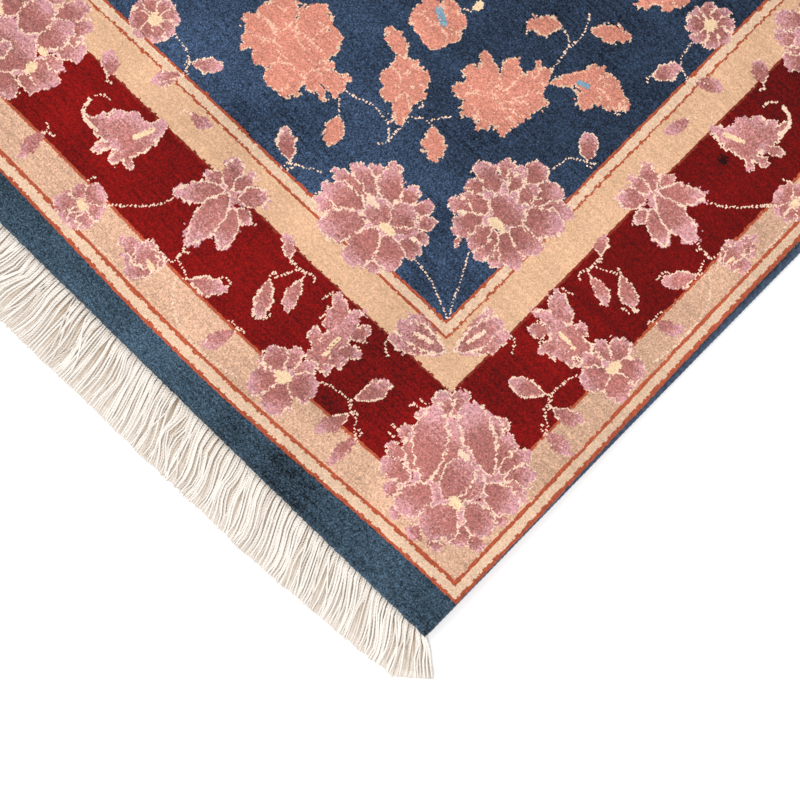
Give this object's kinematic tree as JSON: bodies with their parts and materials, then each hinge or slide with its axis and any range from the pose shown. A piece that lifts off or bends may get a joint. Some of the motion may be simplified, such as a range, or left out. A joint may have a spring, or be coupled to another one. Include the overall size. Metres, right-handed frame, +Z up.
{
  "type": "tabriz rug",
  "caption": "Flat knotted rug with a navy field, a wide red and beige flower border, navy end bands, overcast side edges and a cotton fringe at each end.",
  "frame": {"origin": "on the floor under the middle of the rug", "axes": "+X across the width, +Y along the length, +Z up; the pile faces +Z"},
  "size_m": [0.8258, 1.2528, 0.0078],
  "materials": {
    "pile": "matte",
    "selvedge": "matte",
    "fringe": "matte"
  },
  "bodies": {
    "root": {"rug_mat": "pile", "selvedge_right": "selvedge", "selvedge_left": "selvedge", "fringe_near": "fringe", "fringe_far": "fringe"}
  },
  "joints": []
}
